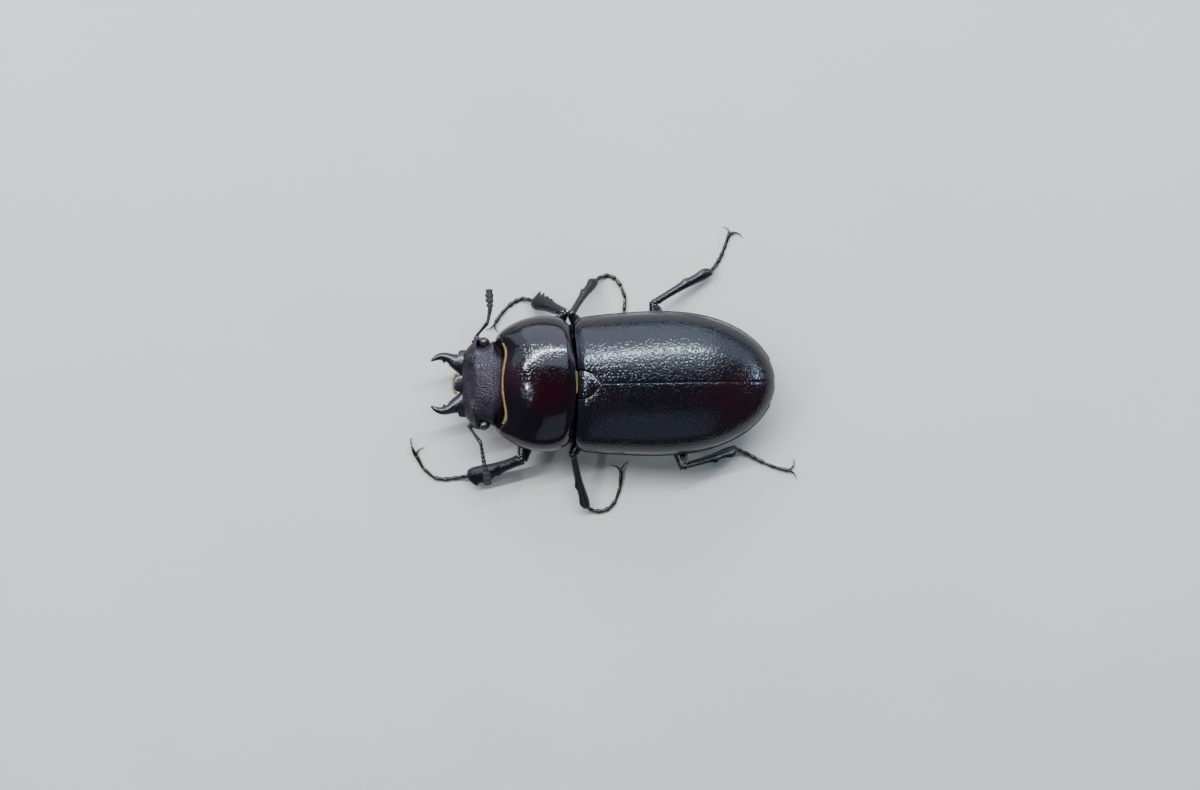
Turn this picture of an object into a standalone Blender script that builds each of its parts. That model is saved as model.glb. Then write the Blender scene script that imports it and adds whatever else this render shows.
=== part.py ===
"""A female stag beetle at life size, standing on six feet, built plate by plate.

Run with: blender --background --python part.py

Every length below is in millimetres in the beetle's own frame: Y runs from head to tail with 0 at the front
edge of the wing cases, X to the beetle's left, Z up from the floor. MM turns them into Blender's metres, and
ORIGIN moves the finished model so that its own origin lies on the floor under the middle of its footprint.
"""

import math

import bmesh
import bpy
from mathutils import Vector

MM = 0.001
ORIGIN = Vector((-1.445, 2.715, 0.0))

# Driving sizes
PLATE_GAP = 0.3
JOINT_GAP = 0.25
SHELL = 0.65
BODY_HALF_WIDTH = 6.98
BODY_CROWN = 4.2
TAIL = 19.3
WIDEST = 8.6
HIGHEST = 7.0
SEAM = 0.08
SHIELD_GAP = 0.22
REAR_TURN = 0.8
REAR_PIVOT = 6.0
RIM_LINE = [(-11.5, 4.55), (-8.0, 4.95), (-4.0, 5.2), (3.0, 5.2), (11.0, 5.05), (TAIL, 4.75)]

# (half-width, half-height) in shares along a limb, and the sizes of the three pairs of legs
FEMUR_SHAPE = [(0.0, 0.55), (0.15, 0.85), (0.45, 1.0), (0.7, 0.95), (0.86, 0.78), (1.0, 0.45)]
FEMUR_SIZE = {"fore": (0.82, 0.55), "mid": (0.72, 0.52), "hind": (0.78, 0.52)}
TIBIA_SIZE = {"fore": (0.7, 0.36), "mid": (0.42, 0.38), "hind": (0.46, 0.38)}
TOE_SHARES = (0.15, 0.14, 0.14, 0.15, 0.42)
TOE_WIDE, TOE_WAIST = 0.3, 0.2
SOLE = TOE_WIDE * math.sin(math.radians(60))

# Each leg: the middle of its coxa, its knee, its ankle, the line of its foot and the tips of its two claws
LEGS = {
    "fore_left": {
        "coxa": (1.4, -3.9, 2.25),
        "knee": (7.4, -5.35, 3.15),
        "ankle": (9.15, -10.75, 1.0),
        "foot": [(9.3, -11.7), (9.45, -12.9), (9.45, -13.9), (8.85, -14.85), (8.0, -15.55), (7.15, -15.95)],
        "claws": [(6.35, -15.1), (5.3, -16.5)],
    },
    "fore_right": {
        "coxa": (-1.4, -3.9, 2.25),
        "knee": (-6.95, -1.35, 3.7),
        "ankle": (-8.2, -4.35, 1.0),
        "foot": [(-8.5, -5.3), (-8.3, -6.0), (-7.85, -6.7), (-7.2, -7.35), (-6.65, -7.75), (-6.1, -8.1)],
        "claws": [(-5.1, -7.7), (-5.45, -9.1)],
    },
    "mid_left": {
        "coxa": (1.4, 2.5, 2.2),
        "knee": (6.95, -0.35, 3.7),
        "ankle": (12.2, 1.0, 1.0),
        "foot": [(12.65, 1.7), (12.65, 2.6), (12.3, 3.3), (11.4, 3.95), (10.2, 4.3), (8.95, 4.4)],
        "claws": [(8.15, 3.3), (7.75, 5.2)],
    },
    "mid_right": {
        "coxa": (-1.4, 2.5, 2.2),
        "knee": (-6.85, -0.45, 4.15),
        "ankle": (-10.2, 1.85, 1.0),
        "foot": [(-10.75, 2.6), (-10.8, 3.3), (-10.3, 4.0), (-9.4, 4.55), (-8.5, 4.8), (-7.3, 4.7)],
        "claws": [(-6.35, 3.8), (-6.05, 5.4)],
    },
    "hind_left": {
        "coxa": (1.65, 8.6, 2.2),
        "knee": (8.05, 10.55, 4.0),
        "ankle": (6.45, 15.7, 1.0),
        "foot": [(6.85, 16.75), (7.35, 17.7), (7.8, 18.5), (8.15, 19.3), (8.4, 20.1), (8.6, 20.95)],
        "claws": [(7.35, 21.5), (9.55, 21.8)],
    },
    "hind_right": {
        "coxa": (-1.65, 8.6, 2.2),
        "knee": (-7.95, 7.65, 3.1),
        "ankle": (-11.1, 13.25, 1.0),
        "foot": [(-11.8, 13.8), (-12.45, 14.2), (-13.1, 14.5), (-13.8, 14.75), (-14.35, 14.95), (-14.9, 15.15)],
        "claws": [(-14.45, 16.5), (-15.6, 14.4)],
    },
}
COXA_RADII = {"fore": (1.15, 0.8, 0.42), "mid": (1.1, 0.85, 0.42), "hind": (1.4, 0.75, 0.42)}
COXA_TILT = {"fore": 9.0, "mid": 11.0, "hind": 11.0}

# Antennae: socket, elbow, end of the beads, end of the club
ANTENNAE = {
    "left": [(4.4, -10.35, 3.9), (5.75, -9.3, 4.75), (8.1, -8.95, 4.0), (9.9, -8.65, 3.5)],
    "right": [(-4.7, -9.7, 4.1), (-5.9, -8.55, 5.9), (-7.3, -8.3, 5.8), (-9.15, -8.4, 5.4)],
}
BEADS = 6
LAMELLAE = 4


def smooth(points, t):
    """The value at t of a smooth line through a few (t, value) points."""
    if t <= points[0][0]:
        return points[0][1]
    for i in range(len(points) - 1):
        (t0, v0), (t1, v1) = points[i], points[i + 1]
        if t <= t1:
            before = points[max(i - 1, 0)]
            after = points[min(i + 2, len(points) - 1)]
            rise0 = (v1 - before[1]) / (t1 - before[0]) * (t1 - t0)
            rise1 = (after[1] - v0) / (after[0] - t0) * (t1 - t0)
            s = (t - t0) / (t1 - t0)
            return (
                (2 * s**3 - 3 * s**2 + 1) * v0
                + (s**3 - 2 * s**2 + s) * rise0
                + (3 * s**2 - 2 * s**3) * v1
                + (s**3 - s**2) * rise1
            )
    return points[-1][1]


def curve_through(points, steps):
    """A list of steps + 1 points, evenly spaced along a smooth line through the given ones."""
    knots = [0.0]
    for a, b in zip(points, points[1:]):
        knots.append(knots[-1] + (Vector(b) - Vector(a)).length)
    lines = [[(k, p[axis]) for k, p in zip(knots, points)] for axis in range(3)]
    return [Vector([smooth(line, knots[-1] * i / steps) for line in lines]) for i in range(steps + 1)]


def material(name, colour, roughness):
    """A plain glossy material, made once."""
    found = bpy.data.materials.get(name)
    if found:
        return found
    made = bpy.data.materials.new(name)
    made.use_nodes = True
    shader = made.node_tree.nodes["Principled BSDF"]
    shader.inputs["Base Color"].default_value = (*colour, 1.0)
    shader.inputs["Roughness"].default_value = roughness
    shader.inputs["Metallic"].default_value = 0.0
    return made


def wing_case_brown():
    return material("wing_case_brown", (0.030, 0.010, 0.011), 0.28)


def plate_brown():
    return material("plate_brown", (0.024, 0.008, 0.009), 0.3)


def limb_black():
    return material("limb_black", (0.010, 0.008, 0.009), 0.32)


def eye_black():
    return material("eye_black", (0.004, 0.004, 0.005), 0.12)


def feeler_grey():
    return material("feeler_grey", (0.030, 0.024, 0.022), 0.6)


def loft(name, rings, finish):
    """One closed solid: a capped ring, extruded from each ring of points to the next."""
    bm = bmesh.new()
    bmesh.ops.create_circle(bm, cap_ends=True, segments=len(rings[0]), radius=MM)
    bm.faces.ensure_lookup_table()
    end = bm.faces[0]
    for i, ring in enumerate(rings):
        if i > 0:
            last = end
            grown = bmesh.ops.extrude_face_region(bm, geom=[last])["geom"]
            end = next(piece for piece in grown if isinstance(piece, bmesh.types.BMFace))
            if i > 1:
                bm.faces.remove(last)
        for vert, point in zip(end.verts, ring):
            vert.co = (Vector(point) - ORIGIN) * MM
    bmesh.ops.triangulate(bm, faces=[face for face in bm.faces if len(face.verts) > 4])
    bmesh.ops.recalc_face_normals(bm, faces=bm.faces)
    mesh = bpy.data.meshes.new(name)
    bm.to_mesh(mesh)
    bm.free()
    mesh.materials.append(finish)
    mesh.shade_smooth()
    mesh.set_sharp_from_angle(angle=math.radians(50))
    node = bpy.data.objects.new(name, mesh)
    bpy.context.scene.collection.objects.link(node)
    return node


def power(value, exponent):
    """value to an exponent, with its sign kept."""
    return math.copysign(abs(value) ** exponent, value)


def rim(y):
    """The height of the body's side edge above the floor."""
    return smooth(RIM_LINE, y)


def body_ring(y_of, half_width, edge, crown, keel, powers, count):
    """One closed ring across the body. Its upper half rises by crown above the edge and its lower half falls
    by keel; a power of 2 is an ellipse and a larger one squarer. y_of gives each point's Y from its X."""
    ring = []
    for k in range(count):
        angle = 2 * math.pi * k / count
        up = math.sin(angle)
        share = 2 / (powers[0] if up >= 0 else powers[1])
        x = half_width * power(math.cos(angle), share)
        z = edge + (crown if up >= 0 else keel) * power(up, share)
        ring.append((x, y_of(x), z))
    return ring


# Wing cases, scutellum and the body under them


def dome(y, inset=0.0):
    """(half-width, crown) of the wing cases at y, or of a smaller dome set inside them by inset."""
    side = BODY_HALF_WIDTH - inset
    top = BODY_CROWN - inset
    if y < WIDEST:
        half_width = side - 0.62 * ((WIDEST - y) / WIDEST) ** 2
    else:
        half_width = side * math.sqrt(max(0.0, 1 - ((y - WIDEST) / (TAIL - WIDEST - inset)) ** 2.1))
    if y < HIGHEST:
        crown = top - 0.8 * ((HIGHEST - y) / HIGHEST) ** 2
    else:
        crown = top * math.sqrt(max(0.0, 1 - ((y - HIGHEST) / (TAIL - HIGHEST - inset)) ** 2.3))
    return half_width, crown


def dome_height(x, y, inset=0.0):
    """Height above the rim of the dome's surface at (x, y)."""
    half_width, crown = dome(y, inset)
    return crown * max(0.0, 1 - (abs(x) / half_width) ** 2.3) ** (1 / 2.1)


def scutellum_edge(y):
    """Half-width of the small shield between the wing cases."""
    return smooth([(0.3, 1.2), (0.9, 1.1), (1.5, 0.72), (2.0, 0.22), (2.15, 0.0)], y)


def wing_case_stations():
    """Y of each ring of a wing case, close together at the shoulder and round the tip."""
    front = [0.0, 0.15, 0.45, 0.9, 1.5, 2.2, 3.4, 5.0, 6.8]
    turns = [0, 14, 28, 41, 53, 63, 72, 79, 84.5]
    return [(y, y) for y in front] + [
        (
            WIDEST + (TAIL - WIDEST) * math.sin(math.radians(a)),
            WIDEST + (TAIL - WIDEST - SHELL) * math.sin(math.radians(a)),
        )
        for a in turns
    ]


def shoulder(y):
    """How far the outer front corner is rounded in, at y."""
    reach = 0.9
    if y >= reach:
        return 0.0
    return reach * (1 - math.sqrt(1 - ((reach - y) / reach) ** 2))


def wing_case(side, sign):
    """A shell with a beaded outer edge that turns under, and an inner face SHELL below the outer one."""
    across = [0.0, 0.06, 0.2, 0.34, 0.47, 0.59, 0.7, 0.79, 0.865, 0.92]
    rings = []
    for y, inner_y in wing_case_stations():
        half_width, crown = dome(y)
        half_width -= shoulder(y)
        inner_width = max(dome(inner_y, SHELL)[0] - shoulder(y) * 0.6, 0.12)
        seam = SEAM + (scutellum_edge(y) + SHIELD_GAP if y < 2.2 else 0.0)
        rim_width = 0.5 * min(1.0, half_width / 4)
        front_drop = 0.3 * max(0.0, 1 - y / 0.9) ** 2
        edge = rim(y)
        lip = min(0.16, crown * 0.3)

        def place(x, z, where):
            sweep = (0.3 - 0.45 * (x / 6) ** 2) * max(0.0, 1 - where / 5)
            return (sign * x, where + sweep, z)

        ring = []
        for share in across:
            x = seam + (half_width - rim_width - seam) * share / across[-1]
            sink = 0.05 if share == 0.0 else 0.0
            height = dome_height(x, y)
            ring.append(place(x, edge + height - front_drop - sink, y))
        groove = dome_height(half_width - rim_width, y)
        ring.append(place(half_width - rim_width * 0.45, edge + groove * 0.72, y))
        ring.append(place(half_width - rim_width * 0.2, edge + min(groove * 0.7, lip + 0.42), y))
        ring.append(place(half_width, edge + lip * 0.4, y))
        ring.append(place(half_width - rim_width * 0.25, edge - 0.4 * min(1.0, half_width / 2), y))
        ring.append(place(inner_width, edge - 0.36 * min(1.0, half_width / 2), y))
        for share in (1.0, 0.93, 0.8, 0.6, 0.35):
            x = seam + (inner_width - seam) * share
            height = max(dome_height(x, inner_y, SHELL), 0.02)
            ring.append(place(x, edge + height - front_drop, inner_y))
        ring.append(place(seam, edge + max(dome_height(seam, inner_y, SHELL), 0.05) - front_drop, inner_y))
        rings.append(ring)
    return loft(f"wing_case_{side}", rings, wing_case_brown())


def scutellum():
    """The little rounded triangle at the front of the seam, flush with the wing cases."""
    outline = ((1, -0.12), (0.5, -0.02), (0, 0), (-0.5, -0.02), (-1, -0.12), (-0.8, -0.5), (0.8, -0.5))
    rings = []
    for y in (0.0, 0.35, 0.9, 1.4, 1.8, 2.05):
        half_width = max(scutellum_edge(y), 0.1)
        top = rim(y) + dome_height(0.0, y) - 0.12 - 0.25 * max(0.0, 1 - y / 0.5)
        sweep = 0.3 * (1 - y / 5)
        rings.append([(x * half_width, y + sweep, top + z) for x, z in outline])
    return loft("scutellum", rings, wing_case_brown())


def core_ring(y, inset, keel, count=20):
    """A ring of the body under the wing cases."""
    half_width, crown = dome(y, inset)
    return body_ring(lambda x: y, half_width, rim(y) - 0.3, crown, keel, (2.3, 1.55), count)


def hind_thorax():
    """The middle and hind thorax under the front half of the wing cases, with a neck in front."""
    inset = SHELL + PLATE_GAP
    keel = [(0.5, 1.7), (2.0, 2.25), (5.0, 2.3), (8.45, 2.25)]
    neck = [(0.16, 0.55), (0.5, 0.7)]
    rings = []
    for y, share in neck:
        half_width, crown = dome(y, inset)
        drop = crown * share - 0.5
        sizes = (half_width * share, rim(y) - 0.3, drop, 1.7 * share)
        rings.append(body_ring(lambda x: y, *sizes, (2.3, 1.7), 20))
    for y in (0.85, 1.5, 2.6, 4.4, 6.4, WIDEST - PLATE_GAP / 2):
        squeeze = 0.45 * max(0.0, 1 - (y - 0.5) / 2.5)
        ring = core_ring(y, inset + squeeze, smooth(keel, y))
        rings.append(ring)
    return loft("hind_thorax", rings, plate_brown())


def abdomen():
    """The belly rings under the rear of the wing cases: five plates parted by four shallow grooves."""
    inset = SHELL + PLATE_GAP
    end = TAIL - inset - 0.05
    keel = [(WIDEST, 2.25), (12.0, 2.2), (15.0, 1.75), (17.3, 1.0), (end, 0.35)]
    grooves = [10.9, 12.6, 14.2, 15.8]
    stations = [(WIDEST + PLATE_GAP / 2, 0.0), (9.6, 0.0)]
    for y in grooves:
        stations += [(y - 0.14, 0.0), (y, 0.13)]
    stations += [(17.0, 0.0), (17.8, 0.0), (end - 0.12, 0.0)]
    rings = []
    for y, cut in stations:
        rings.append(core_ring(y, inset + cut * 0.5, smooth(keel, y) - cut))
    return loft("abdomen", rings, plate_brown())


# Prothorax


def neck_shield_front(x):
    """Y of the prothorax's front edge: forward in the middle and at the corners."""
    s = min(abs(x) / 4.4, 1.0)
    return -7.1 + 1.0 * s**2 - 1.8 * s**6


def neck_shield_back(x):
    """Y of its hind edge, swept forward at the sides."""
    return -0.05 - 0.52 * (x / 5.6) ** 2


def prothorax():
    """The ring behind the head: a domed shield above, a keel below, and a shallow socket for the head."""
    width = [(0, 4.4), (0.07, 5.05), (0.21, 5.75), (0.38, 6.3), (0.56, 6.58)]
    width += [(0.76, 6.6), (0.9, 6.35), (0.97, 5.9), (1, 5.4)]
    crown = [(0, 2.05), (0.12, 2.55), (0.35, 3.15), (0.65, 3.5), (0.9, 3.4), (1, 3.05)]
    keel = [(0, 1.75), (0.15, 2.1), (0.5, 2.5), (0.85, 2.3), (1, 1.9)]
    rings = []
    mouth = 0.86
    for share, depth in ((0.62, 0.95), (0.8, 0.9), (mouth, 0.0)):
        socket = (4.4 * share, rim(-7.5), 2.05 * share, 1.75 * share)
        rings.append(body_ring(lambda x: neck_shield_front(x / mouth) + depth, *socket, (2.3, 1.9), 24))
    for f in (0.0, 0.06, 0.15, 0.28, 0.42, 0.57, 0.72, 0.84, 0.93, 1.0):
        ring = body_ring(
            lambda x: neck_shield_front(x) * (1 - f) + neck_shield_back(x) * f,
            smooth(width, f),
            rim(-7.5 + 7.5 * f),
            smooth(crown, f),
            smooth(keel, f),
            (2.35, 1.55),
            24,
        )
        rings.append(ring)
    rings.append(body_ring(lambda x: neck_shield_back(x) + 0.02, 4.6, rim(0), 2.6, 1.5, (2.3, 1.6), 24))
    return loft("prothorax", rings, plate_brown())


# Head and mouth


def head():
    """A flat, broad capsule: a narrow neck in the prothorax's socket, bulges over the eyes, a level brow."""
    stations = [
        (-6.62, 2.55, 1.15, 1.0),
        (-7.1, 3.05, 1.45, 1.25),
        (-7.75, 3.4, 1.66, 1.4),
        (-8.08, 3.78, 1.72, 1.45),
        (-8.26, 3.3, 1.77, 1.45),
        (-9.0, 3.1, 1.72, 1.45),
        (-9.72, 3.3, 1.58, 1.4),
        (-9.88, 4.1, 1.46, 1.35),
        (-10.15, 4.2, 1.33, 1.3),
        (-10.5, 3.98, 1.15, 1.15),
        (-10.9, 3.45, 0.95, 1.0),
        (-11.15, 2.85, 0.72, 0.8),
    ]
    rings = []
    for y, half_width, crown, keel in stations:
        bow = 0.25 * (y + 6.6) / -4.6
        level = rim(y) - 0.1
        ring = body_ring(lambda x: y + bow * (x / 3.4) ** 2, half_width, level, crown, keel, (2.7, 2.3), 20)
        shaped = []
        for x, yy, z in ring:
            if z > rim(y):
                brow = math.exp(-(((abs(x) - 3.1) / 0.75) ** 2)) * math.exp(-(((y + 10.0) / 0.75) ** 2))
                dip = math.exp(-((x / 1.7) ** 2)) * math.exp(-(((y + 10.6) / 0.7) ** 2))
                z += 0.22 * brow - 0.16 * dip
            shaped.append((x, yy, z))
        rings.append(shaped)
    return loft("head", rings, plate_brown())


def ellipsoid(name, centre, radii, turn_y, finish, segments=10, rings=6):
    """A squashed ball, turned about the body's long axis by turn_y degrees."""
    centre, tilt = Vector(centre), math.radians(turn_y)
    loops = []
    for i in range(1, rings):
        lat = math.pi * i / rings - math.pi / 2
        loop = []
        for k in range(segments):
            lon = 2 * math.pi * k / segments
            x, y = radii[0] * math.sin(lat), radii[1] * math.cos(lat) * math.cos(lon)
            z = radii[2] * math.cos(lat) * math.sin(lon)
            spun = (x * math.cos(tilt) + z * math.sin(tilt), y, z * math.cos(tilt) - x * math.sin(tilt))
            loop.append(centre + Vector(spun))
        loops.append(loop)
    poles = []
    for sign, loop in ((-1, loops[0]), (1, loops[-1])):
        pole = centre + Vector((sign * radii[0] * math.cos(tilt), 0, -sign * radii[0] * math.sin(tilt)))
        poles.append([pole.lerp(p, 0.35) for p in loop])
    return loft(name, [poles[0], *loops, poles[1]], finish)


def eye(side, sign):
    """A round eye on the side of the head, kept clear of it."""
    return ellipsoid(f"eye_{side}", (sign * 3.97, -8.97, 4.75), (0.44, 0.57, 0.6), sign * 25, eye_black())


def sweep(name, path, sizes, out, finish, sides=8, teeth=None, turn=0.0, first_cut=None, last_cut=None):
    """A solid along a path. sizes holds each ring's (half-width, half-height), out the direction of its width
    and teeth a ring number's push, in millimetres, on the ring's first corner. The two ends are square to the
    path, or lie in the planes whose normals are first_cut and last_cut."""
    teeth = teeth or {}
    cuts = {0: first_cut, len(path) - 1: last_cut}
    rings = []
    for i, (centre, (wide, high)) in enumerate(zip(path, sizes)):
        along = (path[min(i + 1, len(path) - 1)] - path[max(i - 1, 0)]).normalized()
        u = (out - along * out.dot(along)).normalized()
        v = along.cross(u)
        ring = []
        for k in range(sides):
            angle = 2 * math.pi * (k + turn) / sides
            reach = wide * math.cos(angle) + (teeth.get(i, 0.0) if k == 0 else 0.0)
            offset = u * reach + v * high * math.sin(angle)
            if cuts.get(i) is not None:
                offset -= along * offset.dot(cuts[i]) / along.dot(cuts[i])
            ring.append(centre + offset)
        rings.append(ring)
    return loft(name, rings, finish)


def mitre(before, joint, after):
    """Where two limb pieces meet at a joint: the end of the first, the start of the second, and the normal of
    the thin slot between them, which halves the bend."""
    first, second = (joint - before).normalized(), (after - joint).normalized()
    normal = (first + second).normalized()
    step = JOINT_GAP / 2
    return joint - first * step / first.dot(normal), joint + second * step / second.dot(normal), normal


def mandible(side, sign):
    """A short sickle with one blunt tooth half way along its inner edge."""
    line = [
        (2.05, -11.5, 4.3),
        (2.25, -11.95, 4.28),
        (2.52, -12.45, 4.3),
        (2.66, -13.05, 4.34),
        (2.5, -13.68, 4.42),
        (2.18, -14.15, 4.5),
    ]
    path = curve_through([(sign * x, y, z) for x, y, z in line], 10)
    wide = [(0, 1.05), (0.12, 0.86), (0.3, 0.58), (0.55, 0.44), (0.8, 0.3), (1, 0.1)]
    high = [(0, 0.62), (0.3, 0.5), (0.7, 0.32), (1, 0.1)]
    sizes = [(smooth(wide, i / 10), smooth(high, i / 10)) for i in range(11)]
    teeth = {5: 0.26}
    inward, ahead = Vector((-sign, 0, 0)), Vector((0, -1, 0))
    return sweep(f"mandible_{side}", path, sizes, inward, limb_black(), 8, teeth, first_cut=ahead)


def labrum():
    """The upper lip: a small plate with a round front edge."""
    stations = [(-11.38, 0.85, 0.2), (-11.62, 0.8, 0.19), (-11.82, 0.6, 0.16), (-11.92, 0.32, 0.1)]
    rings = [body_ring(lambda x: y, w, 4.85, h, h, (2.6, 2.6), 12) for y, w, h in stations]
    return loft("labrum", rings, limb_black())


def mentum():
    """The lower lip plate under the mouth."""
    stations = [(-10.95, 1.5, 0.2), (-10.6, 1.65, 0.26), (-9.9, 1.5, 0.28), (-9.3, 1.2, 0.2)]
    rings = []
    for y, half_width, thick in stations:
        level = rim(y) - 1.82 - 0.06 * (y + 10.9)
        rings.append(body_ring(lambda x: y, half_width, level, thick, thick, (2.6, 2.6), 12))
    return loft("mentum", rings, plate_brown())


def palp(side, sign):
    """A four-jointed feeler beside the lower lip."""
    line = [(2.1, -10.85, 3.1), (2.3, -11.6, 2.95), (2.1, -12.35, 2.85), (1.75, -12.95, 2.8)]
    path = curve_through([(sign * x, y, z) for x, y, z in line], 8)
    sizes = [(r, r) for r in (0.2, 0.26, 0.21, 0.27, 0.21, 0.28, 0.22, 0.29, 0.17)]
    return sweep(f"palp_{side}", path, sizes, Vector((0, 0, 1)), feeler_grey(), 6)


def antenna(side):
    """An elbowed feeler: a long first joint, six beads, and a club of four leaves."""
    socket, elbow, neck, tip = [Vector(p) for p in ANTENNAE[side]]
    up = Vector((0, 0, 1))
    end, start, cut = mitre(socket, elbow, neck)
    bow = socket.lerp(end, 0.5) + up * 0.15
    path = curve_through([socket, bow, end], 5)
    sizes = [(radius, radius) for radius in (0.23, 0.25, 0.26, 0.28, 0.3, 0.26)]
    sweep(f"antenna_{side}_scape", path, sizes, up, feeler_grey(), 6, last_cut=cut)
    path = [start.lerp(neck, i / (2 * BEADS)) for i in range(2 * BEADS + 1)]
    sizes = [(0.23, 0.23) if i % 2 == 0 else (0.28, 0.28) for i in range(len(path))]
    sweep(f"antenna_{side}_beads", path, sizes, up, feeler_grey(), 6, first_cut=cut)
    start = neck + (tip - neck).normalized() * JOINT_GAP
    path = [start.lerp(tip, i / (3 * LAMELLAE)) for i in range(3 * LAMELLAE + 1)]
    leaf = (0.62, 1.0, 0.96)
    taper = [(0, 0.72), (0.3, 1.0), (0.75, 1.0), (1, 0.55)]
    shares = [leaf[i % 3] * smooth(taper, i / (3 * LAMELLAE)) for i in range(len(path))]
    out = Vector((0, 1, 0)) if side == "right" else Vector((0, -1, 0))
    sizes = [(0.38 * share, 0.3 * share) for share in shares]
    sweep(f"antenna_{side}_club", path, sizes, out, feeler_grey())


# Legs


def coxa(leg, pair, sign):
    """The flat hip joint under the breast, tilted with the belly."""
    tilt = -sign * COXA_TILT[pair]
    ellipsoid(f"coxa_{leg}", LEGS[leg]["coxa"], COXA_RADII[pair], tilt, limb_black(), 10, 5)


def femur(leg, pair):
    """The thigh, from the end of the coxa to the knee."""
    hip, knee, ankle = [Vector(LEGS[leg][place]) for place in ("coxa", "knee", "ankle")]
    level = Vector((knee.x - hip.x, knee.y - hip.y, 0)).normalized()
    clear = 1 / math.hypot(level.x / COXA_RADII[pair][0], level.y / COXA_RADII[pair][1])
    start = hip + (knee - hip).normalized() * (clear + JOINT_GAP)
    end, _, cut = mitre(start, knee, ankle)
    wide, high = FEMUR_SIZE[pair]
    path = [start.lerp(end, share) for share, _ in FEMUR_SHAPE]
    sizes = [(wide * size, high * size) for _, size in FEMUR_SHAPE]
    sweep(f"femur_{leg}", path, sizes, level.cross(Vector((0, 0, 1))), limb_black(), last_cut=cut)


def tibia(leg, pair, sign):
    """The shin: broad with four outer teeth in front, slender with one spine in the others."""
    hip, knee, ankle = [Vector(LEGS[leg][place]) for place in ("coxa", "knee", "ankle")]
    toe = Vector((*LEGS[leg]["foot"][0], SOLE))
    _, start, cut = mitre(hip, knee, ankle)
    end, _, end_cut = mitre(knee, ankle, toe)
    wide, high = TIBIA_SIZE[pair]
    if pair == "fore":
        shares = (0.0, 0.14, 0.3, 0.4, 0.47, 0.54, 0.62, 0.69, 0.77, 0.84, 0.91, 1.0)
        teeth = {4: 0.26, 6: 0.34, 8: 0.42, 10: 0.6}
    else:
        shares = (0.0, 0.15, 0.35, 0.5, 0.56, 0.62, 0.8, 0.9, 1.0)
        teeth = {4: 0.25, 7: 0.25}
    swell = [(0.0, 0.62), (0.15, 0.7), (0.5, 0.85), (0.9, 1.1), (1.0, 0.85)]
    bow = (ankle - knee).cross(Vector((0, 0, 1))).normalized() * sign
    if bow.x * sign < 0:
        bow = -bow
    path = [start.lerp(end, share) + bow * 0.12 * math.sin(math.pi * share) for share in shares]
    sizes = [(wide * smooth(swell, share), high * min(smooth(swell, share) + 0.1, 1.0)) for share in shares]
    away = bow if pair == "fore" else (bow + Vector((0, 0, 0.6))).normalized()
    sweep(f"tibia_{leg}", path, sizes, away, limb_black(), 8, teeth, first_cut=cut, last_cut=end_cut)


def foot_line(leg):
    """The middle line of a foot, from the ankle down to the floor and along it, and the cut at its start."""
    knee, ankle = Vector(LEGS[leg]["knee"]), Vector(LEGS[leg]["ankle"])
    flat = [Vector((x, y, SOLE)) for x, y in LEGS[leg]["foot"]]
    _, start, cut = mitre(knee, ankle, flat[0])
    return [start, *flat], cut


def tarsus(leg):
    """A five-jointed foot: four short joints and a long one, each with a flat under its wide end."""
    knots, cut = foot_line(leg)
    steps = 100
    line = curve_through(knots, steps)
    path, sizes = [], []
    reached = 0.0
    for share in TOE_SHARES:
        for step, radius in ((0.0, TOE_WAIST), (0.5, TOE_WIDE * 0.96), (0.84, TOE_WIDE)):
            place = line[round((reached + share * step) * steps)].copy()
            if radius > TOE_WAIST and reached > 0:
                place.z = radius * math.sin(math.radians(60))
            path.append(place)
            sizes.append((radius, radius))
        reached += share
    path.append(line[-1])
    sizes.append((TOE_WAIST, TOE_WAIST))
    sizes[0] = (TOE_WIDE, TOE_WIDE)
    sweep(f"tarsus_{leg}", path, sizes, Vector((0, 0, 1)), limb_black(), 6, turn=0.5, first_cut=cut)


def claws(leg):
    """Two hooked claws on one base, a step beyond the foot's last joint."""
    line, _ = foot_line(leg)
    end, before = line[-1], line[-2]
    ahead = (end - before).normalized()
    base = end + ahead * (JOINT_GAP + 0.2) + Vector((0, 0, 0.06))
    halves = []
    for x, y in LEGS[leg]["claws"]:
        tip = Vector((x, y, 0.12))
        crest = base.lerp(tip, 0.45) + ahead * 0.3 + Vector((0, 0, 0.3))
        halves.append([tip, crest])
    (tip_a, crest_a), (tip_b, crest_b) = halves
    path = curve_through([tip_a, crest_a, base, crest_b, tip_b], 12)
    radii = [0.08, 0.13, 0.16, 0.18, 0.2, 0.22, 0.24, 0.22, 0.2, 0.18, 0.16, 0.13, 0.08]
    sweep(f"claws_{leg}", path, [(r, r) for r in radii], Vector((0, 0, 1)), limb_black(), 6)


def leg(name):
    pair, side = name.split("_")
    sign = 1 if side == "left" else -1
    coxa(name, pair, sign)
    femur(name, pair)
    tibia(name, pair, sign)
    tarsus(name)
    claws(name)


def turn_rear(nodes):
    """Swings the wing cases and the body under them a little to one side, behind the level prothorax."""
    pivot = bpy.data.objects.new("rear_turn", None)
    bpy.context.scene.collection.objects.link(pivot)
    pivot.location = (Vector((0, REAR_PIVOT, 0)) - ORIGIN) * MM
    pivot.rotation_euler.z = math.radians(REAR_TURN)
    for node in nodes:
        node.parent = pivot
        node.location = -pivot.location


def main():
    for obj in list(bpy.data.objects):
        bpy.data.objects.remove(obj)
    turn_rear([wing_case("left", 1), wing_case("right", -1), scutellum(), hind_thorax(), abdomen()])
    for side, sign in (("left", 1), ("right", -1)):
        eye(side, sign)
        mandible(side, sign)
        palp(side, sign)
        antenna(side)
    prothorax()
    head()
    labrum()
    mentum()
    for name in LEGS:
        leg(name)


main()
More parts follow.
